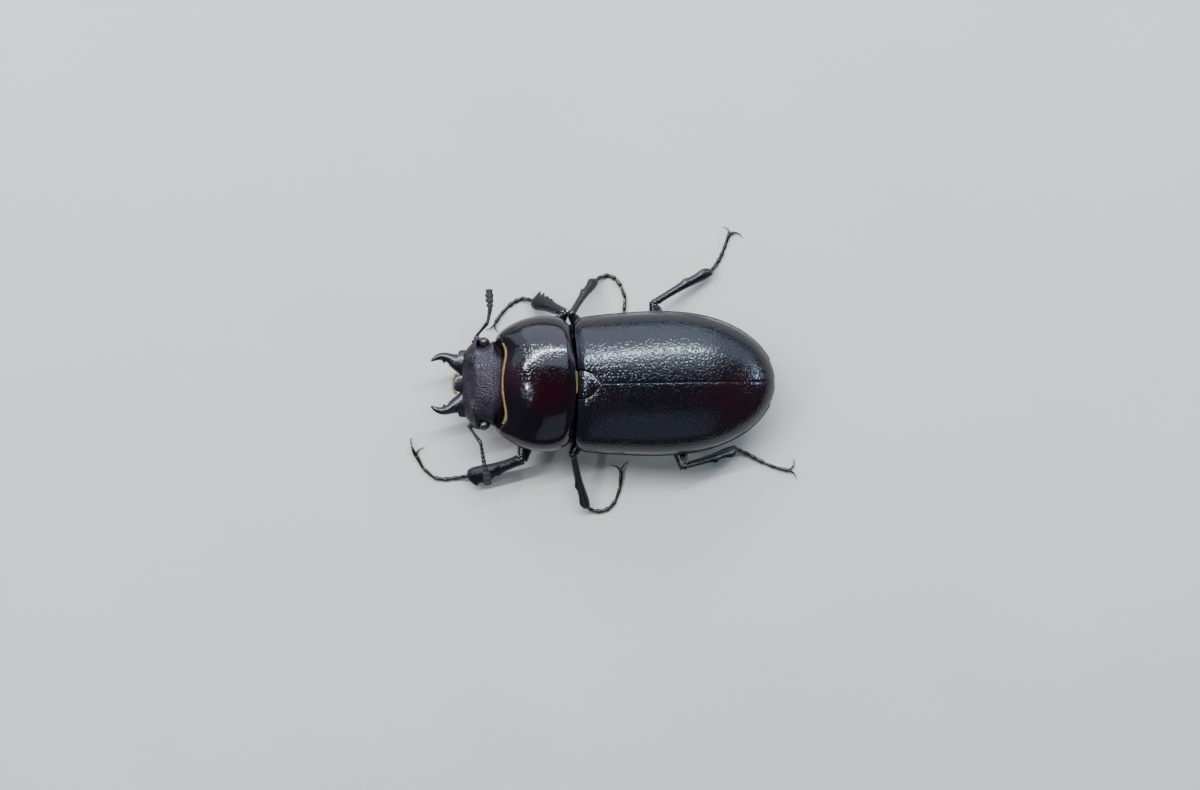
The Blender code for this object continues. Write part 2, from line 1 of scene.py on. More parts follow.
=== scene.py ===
"""The looks of the stag beetle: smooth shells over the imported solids, joints, bristles, finishes and light.

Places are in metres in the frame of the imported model. at() gives them from the beetle's own millimetres,
which the solids use too: X to the beetle's left, Y from head to tail with 0 at the front of the wing cases,
Z up.
"""

import math
import random

import bpy
from mathutils import Matrix, Vector


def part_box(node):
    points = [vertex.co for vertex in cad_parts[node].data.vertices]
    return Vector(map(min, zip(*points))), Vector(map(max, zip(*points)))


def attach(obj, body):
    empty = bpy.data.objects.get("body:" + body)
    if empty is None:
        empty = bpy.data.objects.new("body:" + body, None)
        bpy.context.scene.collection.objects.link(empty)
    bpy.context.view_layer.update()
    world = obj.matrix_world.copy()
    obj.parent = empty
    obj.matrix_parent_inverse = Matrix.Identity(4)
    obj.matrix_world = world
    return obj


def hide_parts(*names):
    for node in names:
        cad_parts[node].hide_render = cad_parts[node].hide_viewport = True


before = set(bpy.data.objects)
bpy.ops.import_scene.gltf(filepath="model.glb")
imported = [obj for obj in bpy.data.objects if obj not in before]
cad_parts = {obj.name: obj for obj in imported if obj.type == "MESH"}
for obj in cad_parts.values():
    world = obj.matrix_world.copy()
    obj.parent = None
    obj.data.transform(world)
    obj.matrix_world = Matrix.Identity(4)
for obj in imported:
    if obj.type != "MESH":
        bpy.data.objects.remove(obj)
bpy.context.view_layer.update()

MM = 0.001
ORIGIN = Vector((-1.445, 2.715, 0.0))
SIDES = {"left": 1, "right": -1}
REAR_TURN = math.radians(0.8)
REAR_PIVOT = Vector((0, 6, 0))
UP = Vector((0, 0, 1))

# Each leg: the middle of its coxa, its knee, its ankle, the line of its foot and the tips of its two claws
LEGS = {
    "fore_left": {
        "coxa": (1.4, -3.9, 2.25),
        "knee": (7.4, -5.35, 3.15),
        "ankle": (9.15, -10.75, 1.0),
        "foot": [(9.3, -11.7), (9.45, -12.9), (9.45, -13.9), (8.85, -14.85), (8.0, -15.55), (7.15, -15.95)],
        "claws": [(6.35, -15.1), (5.3, -16.5)],
    },
    "fore_right": {
        "coxa": (-1.4, -3.9, 2.25),
        "knee": (-6.95, -1.35, 3.7),
        "ankle": (-8.2, -4.35, 1.0),
        "foot": [(-8.5, -5.3), (-8.3, -6.0), (-7.85, -6.7), (-7.2, -7.35), (-6.65, -7.75), (-6.1, -8.1)],
        "claws": [(-5.1, -7.7), (-5.45, -9.1)],
    },
    "mid_left": {
        "coxa": (1.4, 2.5, 2.2),
        "knee": (6.95, -0.35, 3.7),
        "ankle": (12.2, 1.0, 1.0),
        "foot": [(12.65, 1.7), (12.65, 2.6), (12.3, 3.3), (11.4, 3.95), (10.2, 4.3), (8.95, 4.4)],
        "claws": [(8.15, 3.3), (7.75, 5.2)],
    },
    "mid_right": {
        "coxa": (-1.4, 2.5, 2.2),
        "knee": (-6.85, -0.45, 4.15),
        "ankle": (-10.2, 1.85, 1.0),
        "foot": [(-10.75, 2.6), (-10.8, 3.3), (-10.3, 4.0), (-9.4, 4.55), (-8.5, 4.8), (-7.3, 4.7)],
        "claws": [(-6.35, 3.8), (-6.05, 5.4)],
    },
    "hind_left": {
        "coxa": (1.65, 8.6, 2.2),
        "knee": (8.05, 10.55, 4.0),
        "ankle": (6.45, 15.7, 1.0),
        "foot": [(6.85, 16.75), (7.35, 17.7), (7.8, 18.5), (8.15, 19.3), (8.4, 20.1), (8.6, 20.95)],
        "claws": [(7.35, 21.5), (9.55, 21.8)],
    },
    "hind_right": {
        "coxa": (-1.65, 8.6, 2.2),
        "knee": (-7.95, 7.65, 3.1),
        "ankle": (-11.1, 13.25, 1.0),
        "foot": [
            (-11.8, 13.8), (-12.45, 14.2), (-13.1, 14.5), (-13.8, 14.75), (-14.35, 14.95), (-14.9, 15.15),
        ],
        "claws": [(-14.45, 16.5), (-15.6, 14.4)],
    },
}

# The first four joints of a foot and its long last one, as shares of the foot line, and the line's height
TOE_SHARES = (0.15, 0.14, 0.14, 0.15)
LAST_TOE_SHARE = 0.42
FOOT_HEIGHTS = (0.235, 0.235, 0.235, 0.235, 0.245, 0.275)

# Antennae: socket, elbow, end of the beads, end of the club
ANTENNAE = {
    "left": [(4.4, -10.35, 3.9), (5.75, -9.3, 4.75), (8.1, -8.95, 4.0), (9.9, -8.65, 3.5)],
    "right": [(-4.7, -9.7, 4.1), (-5.9, -8.55, 5.9), (-7.3, -8.3, 5.8), (-9.15, -8.4, 5.4)],
}

# Outlines of the forms that are turned about their length, as (place along it, radius) in millimetres
CANTHUS = [(-0.25, 0.12), (0.0, 0.2), (0.35, 0.19), (0.8, 0.14), (1.1, 0.09), (1.25, 0.04)]
SCAPE = [
    (-0.5, 0.13), (0.0, 0.15), (0.12, 0.19), (0.3, 0.14), (0.8, 0.16), (1.3, 0.2), (1.55, 0.23),
    (1.68, 0.19), (1.74, 0.1),
]
SCAPE_ROOT = [(0, 0.2), (0.5, 0.22), (0.95, 0.24), (1.2, 0.22), (1.42, 0.14), (1.5, 0.06)]
BEAD = [(-0.08, 0.12), (0.0, 0.14), (0.07, 0.19), (0.18, 0.225), (0.3, 0.215), (0.37, 0.17), (0.4, 0.13)]
LEAF = [(-0.1, 0.2), (0.0, 0.3), (0.1, 0.36), (0.28, 0.39), (0.44, 0.37), (0.5, 0.28)]
BALL = [(-0.97, 0.24), (-0.8, 0.6), (-0.45, 0.89), (0, 1.0), (0.45, 0.89), (0.8, 0.6), (0.97, 0.24)]
TOE = [(-0.06, 0.14), (0.08, 0.17), (0.35, 0.2), (0.7, 0.235), (0.88, 0.245), (0.97, 0.19), (1.02, 0.1)]
LAST_TOE = [(-0.08, 0.2), (0.3, 0.21), (0.7, 0.24), (0.9, 0.27), (1.0, 0.21), (1.06, 0.1)]

# A feeler: the lengths that the outlines of its scape and bead have, its beads, and the sizes of its leaves
SCAPE_LENGTH = 1.7
BEAD_LENGTH = 0.4
BEADS = 6
LEAF_SIZES = (0.8, 0.95, 1.0, 0.85)

# Pleated near-black skins, partly real joint membrane and partly painted shade in the gaps at the waist and
# neck: their folds, as outlines along the body, their height above the floor, and how flat they are
SKINS = {
    "waist_skin_painted_shade": (
        [
            (-1.3, 4.7), (-1.05, 5.5), (-0.8, 5.65), (-0.55, 5.9), (-0.3, 5.75), (0.0, 5.3), (0.3, 5.1),
            (0.7, 4.7),
        ],
        4.9,
        0.43,
    ),
    "neck_skin_painted_shade": (
        [(-8.3, 3.3), (-8.05, 3.95), (-7.85, 4.2), (-7.6, 4.05), (-7.35, 4.2), (-7.1, 4.0), (-6.8, 3.7)],
        4.8,
        0.37,
    ),
}

# Where the head is drawn out round the eyes and behind them: from, to, inner edge and amount
CHEEKS = ((-9.75, -8.15, 2.3, 0.42), (-8.4, -7.95, 2.6, 0.45))

# Lamps: place, size across the body, length along it, watts, colour
LAMPS = {
    "window": ((-205, -10, 205), 400, 380, 1.5, (0.76, 0.86, 1.0)),
    "strip": ((-115, -50, 250), 7, 400, 1.5, (0.88, 0.94, 1.0)),
    "fill": ((215, 35, 190), 250, 240, 0.11, (0.72, 0.83, 1.0)),
    "front": ((12, -190, 240), 7, 7, 0.16, (0.80, 0.90, 1.0)),
    "tail": ((-120, 200, 115), 120, 170, 0.13, (0.66, 0.82, 1.0)),
    "apex": ((-38, 215, 95), 50, 24, 0.24, (0.55, 0.78, 1.0)),
    "brow": ((-120, -215, 120), 150, 200, 0.16, (0.70, 0.82, 1.0)),
}
STRIP_SLANT = -0.27


def at(x, y, z):
    """A place in metres from the beetle's own millimetres."""
    return (Vector((x, y, z)) - ORIGIN) * MM


def rear(x, y, z):
    """A place on the wing cases or the body under them, which are turned a little to one side."""
    turned = Matrix.Rotation(REAR_TURN, 3, "Z") @ (Vector((x, y, z)) - REAR_PIVOT) + REAR_PIVOT
    return at(*turned)


def along(points, share):
    """The place at a share of a smooth line through points."""
    knots = [0.0]
    for a, b in zip(points, points[1:]):
        knots.append(knots[-1] + (b - a).length)
    reach = knots[-1] * min(max(share, 0.0), 1.0)
    i = max(k for k in range(len(points) - 1) if knots[k] <= reach)
    t = (reach - knots[i]) / (knots[i + 1] - knots[i])
    p0, p3 = points[max(i - 1, 0)], points[min(i + 2, len(points) - 1)]
    p1, p2 = points[i], points[i + 1]
    return 0.5 * (
        2 * p1 + (p2 - p0) * t + (2 * p0 - 5 * p1 + 4 * p2 - p3) * t**2 + (3 * p1 - p0 - 3 * p2 + p3) * t**3
    )


# Shader maths


class Wire:
    """A shader socket that Python's operators work on: each operator adds one Math node."""

    def __init__(self, tree, socket):
        self.tree, self.socket = tree, socket

    def node(self, kind, settings=None, inputs=None, output=0):
        """Adds any other node: its type, its settings, and the values or wires of its sockets."""
        made = self.tree.nodes.new(kind)
        for key, value in (settings or {}).items():
            setattr(made, key, value)
        for key, value in (inputs or {}).items():
            if isinstance(value, Wire):
                self.tree.links.new(value.socket, made.inputs[key])
            else:
                made.inputs[key].default_value = value
        return Wire(self.tree, made.outputs[output])

    def maths(self, operation, *terms):
        return self.node("ShaderNodeMath", {"operation": operation}, dict(enumerate(terms)))

    def __add__(self, other):
        return self.maths("ADD", self, other)

    __radd__ = __add__

    def __sub__(self, other):
        return self.maths("SUBTRACT", self, other)

    def __rsub__(self, other):
        return self.maths("SUBTRACT", other, self)

    def __mul__(self, other):
        return self.maths("MULTIPLY", self, other)

    def rise(self, low, high):
        """0 at low, 1 at high, smooth between them; low may be above high."""
        inputs = {"Value": self, "From Min": min(low, high), "From Max": max(low, high)}
        climb = self.node("ShaderNodeMapRange", {"interpolation_type": "SMOOTHSTEP"}, inputs)
        return 1 - climb if low > high else climb


def finish(name, **fixed):
    """A new material, with its constants on the shader's own sockets. Returns it, its Principled shader and
    a wire that holds each point's place in metres."""
    made = bpy.data.materials.new(name)
    made.use_nodes = True
    tree = made.node_tree
    shader = tree.nodes["Principled BSDF"]
    for socket, value in fixed.items():
        shader.inputs[socket.replace("_", " ")].default_value = value
    place = Wire(tree, tree.nodes.new("ShaderNodeTexCoord").outputs["Object"])
    return made, shader, place


def feed(shader, socket, wire):
    """Ties a wire to one of the shader's sockets."""
    wire.tree.links.new(wire.socket, shader.inputs[socket])


def noise(place, size, detail=3.0):
    """Soft noise with features of about size metres."""
    inputs = {"Vector": place, "Scale": 1 / size, "Detail": detail}
    return place.node("ShaderNodeTexNoise", {"noise_dimensions": "3D"}, inputs)


def pits(place, pitch, wide, randomness=1.0):
    """1 in the middle of each prick and 0 between them. The pricks stand pitch metres apart; wide is the
    share of the pitch that one takes, and a fifth of that is its flat floor."""
    settings = {"feature": "F1", "distance": "EUCLIDEAN"}
    inputs = {"Vector": place, "Scale": 1 / pitch, "Randomness": randomness}
    return 1 - place.node("ShaderNodeTexVoronoi", settings, inputs).rise(wide * 0.2, wide)


def blend(share, low, high):
    """A colour between low and high; either may be a wire."""
    settings = {"data_type": "RGBA", "blend_type": "MIX"}
    colours = [c if isinstance(c, Wire) else (*c, 1.0) for c in (low, high)]
    return share.node("ShaderNodeMix", settings, {0: share, 6: colours[0], 7: colours[1]}, output=2)


def shaded(colour, share):
    """A colour darkened to a share of itself."""
    return tuple(c * share for c in colour)


def relief(height, depth):
    """A normal from a height between 0 and 1 that stands depth metres tall."""
    return height.node("ShaderNodeBump", None, {"Height": height, "Distance": depth, "Strength": 1.0})


def across(place, axis):
    """One coordinate of a place, in metres."""
    return place.node("ShaderNodeSeparateXYZ", None, {"Vector": place}, output="XYZ".index(axis))


# Finishes

# The sizes of what a shell shows: soft patches of tone, patches with fewer pricks, ripples and grain
TONE_PATCH = 4.5 * MM
BARE_PATCH = 1.6 * MM
RIPPLE = 0.3 * MM
GRAIN = 0.085 * MM


def reddened(tone, place, spot, reach, red):
    """A shell's tone with a ragged patch, of about reach metres round spot, painted in the shell's own red
    where a dark reflection lets it show: partly the shell's colour, partly painted reflection.
    """
    away = place.node("ShaderNodeVectorMath", {"operation": "DISTANCE"}, {0: place, 1: spot}, output="Value")
    ragged = away + (noise(place, 1.8 * MM) - 0.5) * reach
    return blend(ragged.rise(reach, reach * 0.1), tone, red)


def chitin(
    name,
    dark,
    warm,
    pitch,
    pit_share,
    pit_depth,
    rough,
    grain=0.25,
    ripple=0.0,
    red_under_dark_reflection=None,
    hem=None,
    **fixed,
):
    """A shell: nearly black with a warmer cast in soft patches, pricked all over, glossy between the pricks,
    and painted darker in the pricks as painted shade.
    grain and ripple are heights, as shares of a prick's depth. The red patch argument holds the place, reach
    and colour of a patch painted in the shell's own red where a dark reflection shows it, partly painted
    reflection. hem holds the heights above the floor between which the gloss fades."""
    made, shader, place = finish(name, **fixed)
    cloud = noise(place, TONE_PATCH, 2.0).rise(0.4, 0.72)
    dust = noise(place, GRAIN, 2.0)
    prick = pits(place, pitch, pit_share) * noise(place, BARE_PATCH, 1.0).rise(0.1, 0.45)
    tone = blend(cloud, dark, warm)
    # Painted reflection, partly the shell's own red: a red patch where a dark reflection lets the red show.
    if red_under_dark_reflection:
        tone = reddened(tone, place, *red_under_dark_reflection)
    # Painted shade: the pricks are painted darker, up to half way towards a third of the dark tone.
    feed(shader, "Base Color", blend(prick * 0.5, tone, shaded(dark, 0.3)))
    gloss = rough + dust * 0.08 + prick * 0.1 + cloud * 0.02
    if hem:
        gloss = gloss + across(place, "Z").rise(*hem) * 0.35
    feed(shader, "Roughness", gloss)
    height = 1 - prick + dust * grain + noise(place, RIPPLE, 1.0) * ripple
    feed(shader, "Normal", relief(height, pit_depth))
    return made


def plain(name, colour, rough, **fixed):
    """A matt finish with a little cloud in its tone and a fine grain."""
    made, shader, place = finish(name, **fixed)
    cloud = noise(place, 0.4 * MM, 4.0).rise(0.3, 0.7)
    feed(shader, "Base Color", blend(cloud, shaded(colour, 0.7), colour))
    feed(shader, "Roughness", rough + cloud * 0.1)
    feed(shader, "Normal", relief(noise(place, 0.06 * MM), 0.008 * MM))
    return made


def eye_lens():
    """Black facets in close rows under a wet gloss, with painted shade in the grooves between them."""
    made, shader, place = finish("eye_lens", Coat_Weight=0.6, Coat_Roughness=0.06)
    facet = pits(place, 0.05 * MM, 0.85, 0.15)
    # Painted shade: the grooves between the facets are painted darker than the facets.
    feed(shader, "Base Color", blend(facet, (0.002, 0.002, 0.003), (0.010, 0.011, 0.014)))
    feed(shader, "Roughness", 0.3 - facet * 0.12)
    feed(shader, "Normal", relief(facet, 0.008 * MM))
    return made


def club_down():
    """The club of the antenna: dull grey-brown down."""
    made, shader, place = finish("club_down", Sheen_Weight=0.08, Sheen_Roughness=0.4)
    down = noise(place, 0.035 * MM, 2.0)
    feed(shader, "Base Color", blend(down, (0.004, 0.004, 0.005), (0.014, 0.012, 0.012)))
    feed(shader, "Roughness", 0.6 + down * 0.2)
    feed(shader, "Normal", relief(down, 0.02 * MM))
    return made


FINISHES = {
    "wing_case": lambda: chitin(
        "wing_case_shell",
        dark=(0.0034, 0.0034, 0.0054),
        warm=(0.0085, 0.0026, 0.0050),
        pitch=0.27 * MM,
        pit_share=0.6,
        pit_depth=0.013 * MM,
        rough=0.12,
        grain=0.18,
        ripple=0.8,
        # A patch of the shell's own red at the tail, painted where a dark reflection shows it: partly painted
        # reflection.
        red_under_dark_reflection=(at(1.4, 15.2, 6.6), 5.0 * MM, (0.0120, 0.0026, 0.0044)),
        hem=(6.4 * MM, 4.6 * MM),
        Specular_IOR_Level=0.46,
        Specular_Tint=(0.88, 0.94, 1.0, 1.0),
    ),
    "shield": lambda: chitin(
        "neck_shield_shell",
        dark=(0.0038, 0.0030, 0.0046),
        warm=(0.0120, 0.0022, 0.0050),
        pitch=0.2 * MM,
        pit_share=0.5,
        pit_depth=0.0045 * MM,
        rough=0.03,
        grain=0.12,
        ripple=1.5,
        # A patch of the shell's own red on the shield, painted where a dark reflection shows it: partly
        # painted reflection.
        red_under_dark_reflection=(at(0.9, -2.4, 8.6), 3.1 * MM, (0.0105, 0.0014, 0.0036)),
        hem=(6.4 * MM, 4.4 * MM),
        Specular_IOR_Level=0.5,
        Specular_Tint=(0.9, 0.94, 1.0, 1.0),
    ),
    "head": lambda: chitin(
        "head_shell",
        dark=(0.008, 0.0045, 0.0080),
        warm=(0.020, 0.0075, 0.0140),
        pitch=0.16 * MM,
        pit_share=0.75,
        pit_depth=0.026 * MM,
        rough=0.27,
        grain=0.35,
        Specular_IOR_Level=0.38,
        Specular_Tint=(0.88, 0.9, 1.0, 1.0),
    ),
    "underside": lambda: chitin(
        "belly_shell",
        dark=(0.009, 0.005, 0.005),
        warm=(0.020, 0.008, 0.007),
        pitch=0.3 * MM,
        pit_share=0.5,
        pit_depth=0.02 * MM,
        rough=0.3,
        Coat_Weight=0.15,
        Coat_Roughness=0.25,
    ),
    "limb": lambda: chitin(
        "limb_shell",
        dark=(0.0022, 0.0026, 0.0042),
        warm=(0.0045, 0.0036, 0.0050),
        pitch=0.2 * MM,
        pit_share=0.4,
        pit_depth=0.008 * MM,
        rough=0.22,
        Specular_IOR_Level=0.55,
    ),
    "feeler": lambda: chitin(
        "feeler_shell",
        dark=(0.006, 0.005, 0.006),
        warm=(0.012, 0.008, 0.008),
        pitch=0.1 * MM,
        pit_share=0.4,
        pit_depth=0.006 * MM,
        rough=0.3,
    ),
    "club": club_down,
    "eye": eye_lens,
    "hair": lambda: plain("golden_bristle", (0.40, 0.27, 0.07), 0.5),
    "lip_hair": lambda: plain("orange_bristle", (0.40, 0.18, 0.04), 0.5),
    # Near black with little gloss: partly a joint membrane's own dark tone, partly painted shade in the gaps
    # it fills.
    "shade_membrane": lambda: plain("joint_membrane_painted_shade", (0.004, 0.003, 0.003), 0.6, Specular_IOR_Level=0.08),
}
made_finishes = {}


def coat(piece, kind):
    """Gives a piece its finish, made once."""
    if kind not in made_finishes:
        made_finishes[kind] = FINISHES[kind]()
    piece.data.materials.clear()
    piece.data.materials.append(made_finishes[kind])


# Making pieces


def alone(*pieces):
    """Selects these pieces and nothing else; the first is the active one."""
    bpy.ops.object.select_all(action="DESELECT")
    for piece in pieces:
        piece.select_set(True)
    bpy.context.view_layer.objects.active = pieces[0]


def edit(piece):
    """Opens a piece for editing, with all its faces selected."""
    alone(piece)
    bpy.ops.object.mode_set(mode="EDIT")
    bpy.ops.mesh.select_mode(type="FACE")
    bpy.ops.mesh.select_all(action="SELECT")


def done():
    bpy.ops.object.mode_set(mode="OBJECT")


def pick(piece, wanted):
    """In edit mode, selects the faces for which wanted(centre, normal) holds. Returns their middle."""
    bpy.ops.mesh.select_mode(type="FACE")
    bpy.ops.mesh.select_all(action="DESELECT")
    bpy.ops.object.mode_set(mode="OBJECT")
    chosen = [face for face in piece.data.polygons if wanted(face.center, face.normal)]
    for face in chosen:
        face.select = True
    if not chosen:
        raise ValueError(f"no face of {piece.name} fits")
    middle = sum((face.center * face.area for face in chosen), Vector()) / sum(face.area for face in chosen)
    bpy.ops.object.mode_set(mode="EDIT")
    return middle


def pick_points(piece, wanted):
    """In edit mode, selects the vertices for which wanted(place) holds. Returns their middle."""
    bpy.ops.mesh.select_mode(type="VERT")
    bpy.ops.mesh.select_all(action="DESELECT")
    bpy.ops.object.mode_set(mode="OBJECT")
    chosen = [vertex for vertex in piece.data.vertices if wanted(vertex.co)]
    for vertex in chosen:
        vertex.select = True
    if not chosen:
        raise ValueError(f"no point of {piece.name} fits")
    middle = sum((vertex.co for vertex in chosen), Vector()) / len(chosen)
    bpy.ops.object.mode_set(mode="EDIT")
    return middle


def grow(move, size=1.0, middle=None, height=None):
    """Extrudes the selected faces by move and scales them about middle, moved too. height is the vertical
    scale if it differs."""
    bpy.ops.mesh.extrude_region_move(TRANSFORM_OT_translate={"value": move})
    if size != 1.0:
        bpy.ops.transform.resize(value=(size, size, height or size), center_override=middle + move)


def swell(piece, amount):
    """Moves every face out."""
    edit(piece)
    bpy.ops.transform.shrink_fatten(value=amount)
    done()


def shell_of(node):
    """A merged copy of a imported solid, in quads, in object mode."""
    piece = bpy.data.objects.new(f"{node}_shell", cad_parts[node].data.copy())
    bpy.context.scene.collection.objects.link(piece)
    edit(piece)
    bpy.ops.mesh.remove_doubles(threshold=0.0001 * MM)
    bpy.ops.mesh.customdata_custom_splitnormals_clear()
    bpy.ops.mesh.tris_convert_to_quads(face_threshold=math.pi, shape_threshold=math.pi)
    bpy.ops.mesh.mark_sharp(clear=True)
    done()
    return piece


def crease(piece, angle, amount):
    """Holds the edges that turn by more than angle degrees."""
    edit(piece)
    bpy.ops.mesh.select_all(action="DESELECT")
    bpy.ops.mesh.select_mode(type="EDGE")
    bpy.ops.mesh.edges_select_sharp(sharpness=math.radians(angle))
    bpy.ops.transform.edge_crease(value=amount)
    done()


def subdivide(piece, levels):
    """Smooths a piece by levels of subdivision."""
    alone(piece)
    smooth = piece.modifiers.new("smooth", "SUBSURF")
    smooth.levels = smooth.render_levels = levels
    bpy.ops.object.modifier_apply(modifier=smooth.name)
    bpy.ops.object.shade_smooth()


def roughen(piece, size, depth):
    """Real unevenness in a shell: soft lumps of about size metres, depth metres tall."""
    lumps = bpy.data.textures.new(f"{piece.name}_lumps", "CLOUDS")
    lumps.noise_scale, lumps.noise_depth = size, 1
    alone(piece)
    push = piece.modifiers.new("lumps", "DISPLACE")
    push.texture, push.strength, push.mid_level = lumps, depth, 0.5
    push.texture_coords = "LOCAL"
    bpy.ops.object.modifier_apply(modifier=push.name)


def settle(piece, kind, slot, *nodes):
    """Finishes a piece and ties it to the model."""
    coat(piece, kind)
    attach(piece, "root")
    if nodes:
        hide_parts(*nodes)
    return piece


def smooth_shell(node, kind, slot, levels=2, angle=60, hold=0.5, puff=0.0):
    """The plain way from a solid to its shell: copy, hold the edges sharper than angle, thicken, smooth."""
    piece = shell_of(node)
    if hold:
        crease(piece, angle, hold)
    if puff:
        swell(piece, puff)
    subdivide(piece, levels)
    settle(piece, kind, slot, node)


def aimed(origin, ahead, up=UP, size=1.0):
    """The matrix that lays a pattern's Y along ahead and its Z towards up, at origin."""
    y = ahead.normalized()
    x = y.cross(up).normalized()
    z = x.cross(y)
    turn = Matrix((x, y, z)).transposed().to_4x4()
    return Matrix.Translation(origin) @ turn @ Matrix.Scale(size, 4)


def stamp(pattern, matrix):
    """A copy of a pattern with its own mesh, laid by a matrix."""
    piece = bpy.data.objects.new(pattern.name, pattern.data.copy())
    bpy.context.scene.collection.objects.link(piece)
    piece.data.transform(matrix)
    return piece


def joined(name, parts):
    """One piece from several."""
    alone(*parts)
    bpy.ops.object.join()
    parts[0].name = parts[0].data.name = name
    bpy.ops.object.shade_smooth()
    return parts[0]


def drop(*patterns):
    for pattern in patterns:
        bpy.data.objects.remove(pattern)


def disc(name, radius, sides):
    """A filled circle at the origin that faces along Y."""
    bpy.ops.object.select_all(action="DESELECT")
    bpy.ops.mesh.primitive_circle_add(
        vertices=sides, radius=radius, fill_type="NGON", rotation=(-math.pi / 2, 0, 0), location=(0, 0, 0)
    )
    piece = bpy.context.active_object
    piece.name = name
    bpy.ops.object.transform_apply(location=True, rotation=True, scale=True)
    return piece


def turned(name, profile, sides=10, flat=1.0):
    """A lathe-like form along Y from (y, radius) pairs in millimetres, flattened in Z by flat."""
    (first_y, first_radius), *rest = profile
    piece = disc(name, first_radius * MM, sides)
    edit(piece)
    reached, radius = 0.0, first_radius
    for y, next_radius in rest:
        move, middle = Vector((0, (y - first_y - reached) * MM, 0)), Vector((0, reached * MM, 0))
        grow(move, next_radius / radius, middle)
        reached, radius = y - first_y, next_radius
    bpy.ops.mesh.select_all(action="SELECT")
    bpy.ops.transform.translate(value=(0, first_y * MM, 0))
    bpy.ops.transform.resize(value=(1, 1, flat), center_override=(0, 0, 0))
    bpy.ops.mesh.normals_make_consistent(inside=False)
    done()
    return piece


def horn(name, radius, length, curl, steps, tip):
    """A tapered hook that curls down by curl degrees, from the origin to a tip one millimetre along Y. tip
    is the size of its end as a share of its root's."""
    piece = disc(name, radius * MM, 8)
    edit(piece)
    middle, step, bend = Vector(), length * MM / steps, math.radians(curl) / steps
    size = tip ** (1 / steps)
    for i in range(steps):
        heading = bend * (i + 0.5)
        move = Vector((0, math.cos(heading), -math.sin(heading))) * step
        grow(move, size, middle)
        middle = middle + move
        bpy.ops.transform.rotate(value=bend, orient_axis="X", center_override=middle)
    bpy.ops.mesh.select_all(action="SELECT")
    bpy.ops.mesh.normals_make_consistent(inside=False)
    done()
    fall = math.atan2(-middle.z, middle.y)
    piece.data.transform(Matrix.Scale(MM / middle.length, 4) @ Matrix.Rotation(fall, 4, "X"))
    return piece


# Bristles

# Each hair has three sides, a ring of points below its root, another half way up it, and a tip
HAIR_SIDES = 3
HAIR_POINTS = 2 * HAIR_SIDES + 1


def hair_points(root, ahead, tall, sag, width):
    """The points of one hair, which bends by sag at its tip."""
    side = ahead.orthogonal().normalized()
    other = ahead.cross(side)
    points = []
    for share, size in ((-0.2, 1.0), (0.5, 0.75)):
        centre = root + ahead * tall * share + sag * max(share, 0.0) ** 2
        for k in range(HAIR_SIDES):
            turn = 2 * math.pi * k / HAIR_SIDES
            points.append(centre + (side * math.cos(turn) + other * math.sin(turn)) * width * size)
    return points + [root + ahead * tall + sag]


def hair_faces(first):
    """The faces of the hair whose points start at first."""
    ring, tip = first + HAIR_SIDES, first + HAIR_POINTS - 1
    faces = [(first + 2, first + 1, first)]
    for k in range(HAIR_SIDES):
        n = (k + 1) % HAIR_SIDES
        faces.append((first + k, first + n, ring + n, ring + k))
        faces.append((ring + k, ring + n, tip))
    return faces


def lay_patches(mesh, patches):
    """Gives each hair a tiny patch of the OFBake map, at its own place there."""
    step = 0.001
    layer = mesh.uv_layers.new(name="OFBake")
    for face in mesh.polygons:
        u, v = patches[face.vertices[0] // HAIR_POINTS]
        for loop in face.loop_indices:
            point = mesh.loops[loop].vertex_index % HAIR_POINTS
            layer.data[loop].uv = (u + step * (point % HAIR_SIDES), v + step * (point // HAIR_SIDES))


def bristles(name, roots, length, width, seed, droop, kind, spread):
    """Tapered hairs. roots holds each one's (place, direction); they sag by droop times their length and
    stray from their direction by spread. Their places round the body and along it lay out the OFBake map."""
    rng = random.Random(seed)
    lows = [min(root[0][axis] for root in roots) for axis in range(3)]
    highs = [max(root[0][axis] for root in roots) for axis in range(3)]
    middle = [(low + high) / 2 for low, high in zip(lows, highs)]
    margin, span = 0.01, 0.97
    points, faces, patches = [], [], []
    for root, lean in roots:
        stray = Vector([rng.uniform(-spread, spread) for _ in range(3)])
        tall = length * rng.uniform(0.65, 1.1)
        faces += hair_faces(len(points))
        points += hair_points(root, (lean + stray).normalized(), tall, Vector((0, 0, -droop * tall)), width)
        around = math.atan2(root.z - middle[2], root.x - middle[0]) / (2 * math.pi) + 0.5
        behind = (root.y - lows[1]) / max(highs[1] - lows[1], MM)
        patches.append((margin + span * around, margin + span * behind))
    made = bpy.data.meshes.new(name)
    made.from_pydata([tuple(p) for p in points], [], faces)
    lay_patches(made, patches)
    made.shade_smooth()
    piece = bpy.data.objects.new(name, made)
    bpy.context.scene.collection.objects.link(piece)
    settle(piece, kind, "hair")


# Wing cases and body


